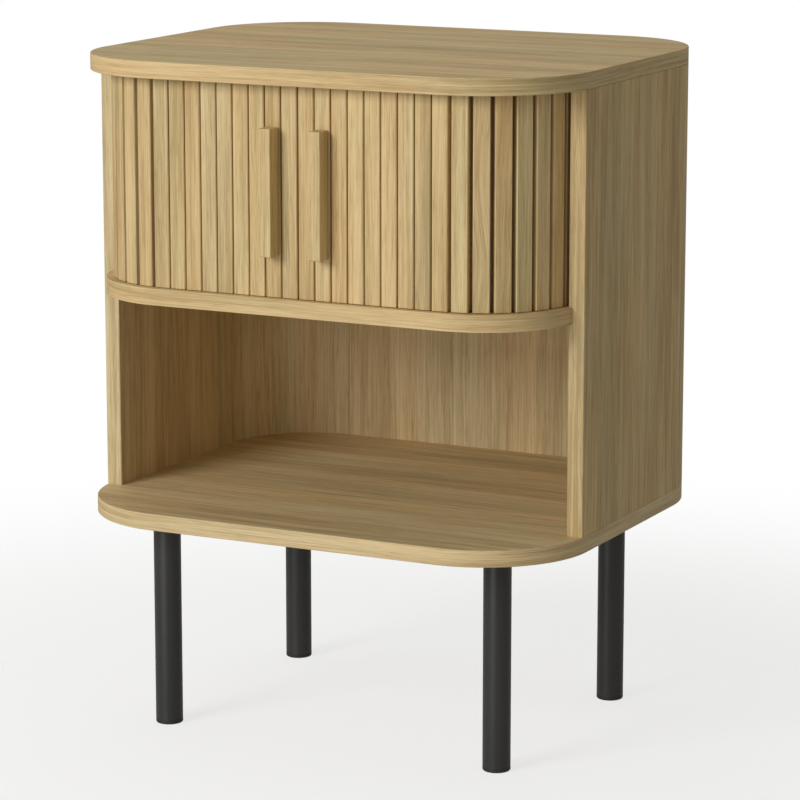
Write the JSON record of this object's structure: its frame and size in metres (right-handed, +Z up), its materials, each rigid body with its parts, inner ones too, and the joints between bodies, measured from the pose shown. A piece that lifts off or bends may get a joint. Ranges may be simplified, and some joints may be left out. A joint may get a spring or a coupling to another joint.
{
  "type": "tambour cabinet",
  "caption": "Small oak cabinet with rounded corners, ribbed tambour doors that slide round the front corners above an open compartment, bar handles and black tube legs.",
  "frame": {"origin": "on the floor, under the middle of the overall box", "axes": "+Z up; the doors and handles face -Y; +X to the right of someone facing the back from the front"},
  "size_m": [0.48, 0.4, 0.62],
  "materials": {
    "oak_board": "matt light oak finish with a fine straight grain",
    "oak_slat": "matt light oak finish, grain along the slat",
    "beech": "bare turned dowel",
    "canvas": "plain cotton canvas",
    "black_steel": "satin black powder coat",
    "black_plastic": "matt black",
    "zinc_steel": "bright zinc plate",
    "cam_metal": "die-cast zinc"
  },
  "bodies": {
    "case": {"top_panel": "oak_board", "middle_shelf": "oak_board", "bottom_panel": "oak_board", "side_panel_right": "oak_board", "side_panel_left": "oak_board", "back_corner_right": "oak_board", "back_corner_left": "oak_board", "back_panel": "oak_board", "dowels": "beech", "case_screws": "zinc_steel", "cam_locks": "cam_metal", "cam_bolts": "zinc_steel", "leg_front_right": "black_steel", "leg_front_left": "black_steel", "leg_rear_right": "black_steel", "leg_rear_left": "black_steel", "leg_glides": "black_plastic", "leg_studs": "zinc_steel", "leg_inserts": "zinc_steel"},
    "right_slat_17": {"slat_right_17": "oak_slat"},
    "right_slat_16": {"slat_right_16": "oak_slat"},
    "right_slat_15": {"slat_right_15": "oak_slat"},
    "right_slat_14": {"slat_right_14": "oak_slat"},
    "right_slat_13": {"slat_right_13": "oak_slat"},
    "right_slat_12": {"slat_right_12": "oak_slat"},
    "right_slat_11": {"slat_right_11": "oak_slat"},
    "right_slat_10": {"slat_right_10": "oak_slat"},
    "right_slat_09": {"slat_right_09": "oak_slat"},
    "right_slats_05_to_08": {"slat_right_05": "oak_slat", "slat_right_06": "oak_slat", "slat_right_07": "oak_slat", "slat_right_08": "oak_slat"},
    "right_slat_04": {"slat_right_04": "oak_slat"},
    "right_slat_03": {"slat_right_03": "oak_slat"},
    "right_slat_02": {"slat_right_02": "oak_slat", "handle_right": "oak_slat", "handle_screws_right": "zinc_steel"},
    "right_slat_01": {"slat_right_01": "oak_slat"},
    "left_slat_17": {"slat_left_17": "oak_slat"},
    "left_slat_16": {"slat_left_16": "oak_slat"},
    "left_slat_15": {"slat_left_15": "oak_slat"},
    "left_slat_14": {"slat_left_14": "oak_slat"},
    "left_slat_13": {"slat_left_13": "oak_slat"},
    "left_slat_12": {"slat_left_12": "oak_slat"},
    "left_slat_11": {"slat_left_11": "oak_slat"},
    "left_slat_10": {"slat_left_10": "oak_slat"},
    "left_slat_09": {"slat_left_09": "oak_slat"},
    "left_slats_05_to_08": {"slat_left_05": "oak_slat", "slat_left_06": "oak_slat", "slat_left_07": "oak_slat", "slat_left_08": "oak_slat"},
    "left_slat_04": {"slat_left_04": "oak_slat"},
    "left_slat_03": {"slat_left_03": "oak_slat"},
    "left_slat_02": {"slat_left_02": "oak_slat", "handle_left": "oak_slat", "handle_screws_left": "zinc_steel"},
    "left_slat_01": {"slat_left_01": "oak_slat"}
  },
  "joints": [
    {"name": "right_door_slide", "type": "slide", "parent": "case", "child": "right_slat_17", "axis": [0, 1, 0], "range_m": [0, 0.192]},
    {"name": "right_turn_16", "type": "hinge", "parent": "right_slat_17", "child": "right_slat_16", "pos_m": [0.2092, -0.09222, 0.51125], "axis": [0, 0, 1], "range_deg": [0, 1.75]},
    {"name": "right_turn_15", "type": "hinge", "parent": "right_slat_17", "child": "right_slat_15", "pos_m": [0.20899, -0.10614, 0.51125], "axis": [0, 0, 1], "range_deg": [0, 13.45]},
    {"name": "right_turn_14", "type": "hinge", "parent": "right_slat_17", "child": "right_slat_14", "pos_m": [0.20803, -0.11513, 0.51125], "axis": [0, 0, 1], "range_deg": [0, 26.73]},
    {"name": "right_turn_13", "type": "hinge", "parent": "right_slat_17", "child": "right_slat_13", "pos_m": [0.20646, -0.12347, 0.51125], "axis": [0, 0, 1], "range_deg": [0, 40.01]},
    {"name": "right_turn_12", "type": "hinge", "parent": "right_slat_17", "child": "right_slat_12", "pos_m": [0.20423, -0.13165, 0.51125], "axis": [0, 0, 1], "range_deg": [0, 53.29]},
    {"name": "right_turn_11", "type": "hinge", "parent": "right_slat_17", "child": "right_slat_11", "pos_m": [0.20134, -0.13976, 0.51125], "axis": [0, 0, 1], "range_deg": [0, 66.56]},
    {"name": "right_turn_10", "type": "hinge", "parent": "right_slat_17", "child": "right_slat_10", "pos_m": [0.19773, -0.14783, 0.51125], "axis": [0, 0, 1], "range_deg": [0, 79.84]},
    {"name": "right_turn_09", "type": "hinge", "parent": "right_slat_17", "child": "right_slat_09", "pos_m": [0.19444, -0.1539, 0.51125], "axis": [0, 0, 1], "range_deg": [0, 89.53]},
    {"name": "right_turn_05_to_08", "type": "hinge", "parent": "right_slat_17", "child": "right_slats_05_to_08", "pos_m": [0.19423, -0.15424, 0.51125], "axis": [0, 0, 1], "range_deg": [0, 90]},
    {"name": "right_turn_04", "type": "hinge", "parent": "right_slats_05_to_08", "child": "right_slat_04", "pos_m": [0.06425, -0.1692, 0.51125], "axis": [0, 0, 1], "range_deg": [-1.75, 0]},
    {"name": "right_turn_03", "type": "hinge", "parent": "right_slats_05_to_08", "child": "right_slat_03", "pos_m": [0.05033, -0.16899, 0.51125], "axis": [0, 0, 1], "range_deg": [-13.45, 0]},
    {"name": "right_turn_02", "type": "hinge", "parent": "right_slats_05_to_08", "child": "right_slat_02", "pos_m": [0.04134, -0.16803, 0.51125], "axis": [0, 0, 1], "range_deg": [-26.73, 0]},
    {"name": "right_turn_01", "type": "hinge", "parent": "right_slats_05_to_08", "child": "right_slat_01", "pos_m": [0.033, -0.16646, 0.51125], "axis": [0, 0, 1], "range_deg": [-40.01, 0]},
    {"name": "left_door_slide", "type": "slide", "parent": "case", "child": "left_slat_17", "axis": [0, 1, 0], "range_m": [0, 0.192]},
    {"name": "left_turn_16", "type": "hinge", "parent": "left_slat_17", "child": "left_slat_16", "pos_m": [-0.2092, -0.09222, 0.51125], "axis": [0, 0, 1], "range_deg": [-1.75, 0]},
    {"name": "left_turn_15", "type": "hinge", "parent": "left_slat_17", "child": "left_slat_15", "pos_m": [-0.20899, -0.10614, 0.51125], "axis": [0, 0, 1], "range_deg": [-13.45, 0]},
    {"name": "left_turn_14", "type": "hinge", "parent": "left_slat_17", "child": "left_slat_14", "pos_m": [-0.20803, -0.11513, 0.51125], "axis": [0, 0, 1], "range_deg": [-26.73, 0]},
    {"name": "left_turn_13", "type": "hinge", "parent": "left_slat_17", "child": "left_slat_13", "pos_m": [-0.20646, -0.12347, 0.51125], "axis": [0, 0, 1], "range_deg": [-40.01, 0]},
    {"name": "left_turn_12", "type": "hinge", "parent": "left_slat_17", "child": "left_slat_12", "pos_m": [-0.20423, -0.13165, 0.51125], "axis": [0, 0, 1], "range_deg": [-53.29, 0]},
    {"name": "left_turn_11", "type": "hinge", "parent": "left_slat_17", "child": "left_slat_11", "pos_m": [-0.20134, -0.13976, 0.51125], "axis": [0, 0, 1], "range_deg": [-66.56, 0]},
    {"name": "left_turn_10", "type": "hinge", "parent": "left_slat_17", "child": "left_slat_10", "pos_m": [-0.19773, -0.14783, 0.51125], "axis": [0, 0, 1], "range_deg": [-79.84, 0]},
    {"name": "left_turn_09", "type": "hinge", "parent": "left_slat_17", "child": "left_slat_09", "pos_m": [-0.19444, -0.1539, 0.51125], "axis": [0, 0, 1], "range_deg": [-89.53, 0]},
    {"name": "left_turn_05_to_08", "type": "hinge", "parent": "left_slat_17", "child": "left_slats_05_to_08", "pos_m": [-0.19423, -0.15424, 0.51125], "axis": [0, 0, 1], "range_deg": [-90, 0]},
    {"name": "left_turn_04", "type": "hinge", "parent": "left_slats_05_to_08", "child": "left_slat_04", "pos_m": [-0.06425, -0.1692, 0.51125], "axis": [0, 0, 1], "range_deg": [0, 1.75]},
    {"name": "left_turn_03", "type": "hinge", "parent": "left_slats_05_to_08", "child": "left_slat_03", "pos_m": [-0.05033, -0.16899, 0.51125], "axis": [0, 0, 1], "range_deg": [0, 13.45]},
    {"name": "left_turn_02", "type": "hinge", "parent": "left_slats_05_to_08", "child": "left_slat_02", "pos_m": [-0.04134, -0.16803, 0.51125], "axis": [0, 0, 1], "range_deg": [0, 26.73]},
    {"name": "left_turn_01", "type": "hinge", "parent": "left_slats_05_to_08", "child": "left_slat_01", "pos_m": [-0.033, -0.16646, 0.51125], "axis": [0, 0, 1], "range_deg": [0, 40.01]}
  ],
  "couplings": [
    {"joint": "right_turn_16", "follows": "right_door_slide", "rad_per_m": 0.15922},
    {"joint": "right_turn_15", "follows": "right_door_slide", "rad_per_m": 1.223},
    {"joint": "right_turn_14", "follows": "right_door_slide", "rad_per_m": 2.43},
    {"joint": "right_turn_13", "follows": "right_door_slide", "rad_per_m": 3.6369},
    {"joint": "right_turn_12", "follows": "right_door_slide", "rad_per_m": 4.8438},
    {"joint": "right_turn_11", "follows": "right_door_slide", "rad_per_m": 6.0508},
    {"joint": "right_turn_10", "follows": "right_door_slide", "rad_per_m": 7.2577},
    {"joint": "right_turn_09", "follows": "right_door_slide", "rad_per_m": 8.1387},
    {"joint": "right_turn_05_to_08", "follows": "right_door_slide", "rad_per_m": 8.1812},
    {"joint": "right_turn_04", "follows": "right_door_slide", "rad_per_m": -0.15922},
    {"joint": "right_turn_03", "follows": "right_door_slide", "rad_per_m": -1.223},
    {"joint": "right_turn_02", "follows": "right_door_slide", "rad_per_m": -2.43},
    {"joint": "right_turn_01", "follows": "right_door_slide", "rad_per_m": -3.6369},
    {"joint": "left_turn_16", "follows": "left_door_slide", "rad_per_m": -0.15922},
    {"joint": "left_turn_15", "follows": "left_door_slide", "rad_per_m": -1.223},
    {"joint": "left_turn_14", "follows": "left_door_slide", "rad_per_m": -2.43},
    {"joint": "left_turn_13", "follows": "left_door_slide", "rad_per_m": -3.6369},
    {"joint": "left_turn_12", "follows": "left_door_slide", "rad_per_m": -4.8438},
    {"joint": "left_turn_11", "follows": "left_door_slide", "rad_per_m": -6.0508},
    {"joint": "left_turn_10", "follows": "left_door_slide", "rad_per_m": -7.2577},
    {"joint": "left_turn_09", "follows": "left_door_slide", "rad_per_m": -8.1387},
    {"joint": "left_turn_05_to_08", "follows": "left_door_slide", "rad_per_m": -8.1812},
    {"joint": "left_turn_04", "follows": "left_door_slide", "rad_per_m": 0.15922},
    {"joint": "left_turn_03", "follows": "left_door_slide", "rad_per_m": 1.223},
    {"joint": "left_turn_02", "follows": "left_door_slide", "rad_per_m": 2.43},
    {"joint": "left_turn_01", "follows": "left_door_slide", "rad_per_m": 3.6369}
  ]
}
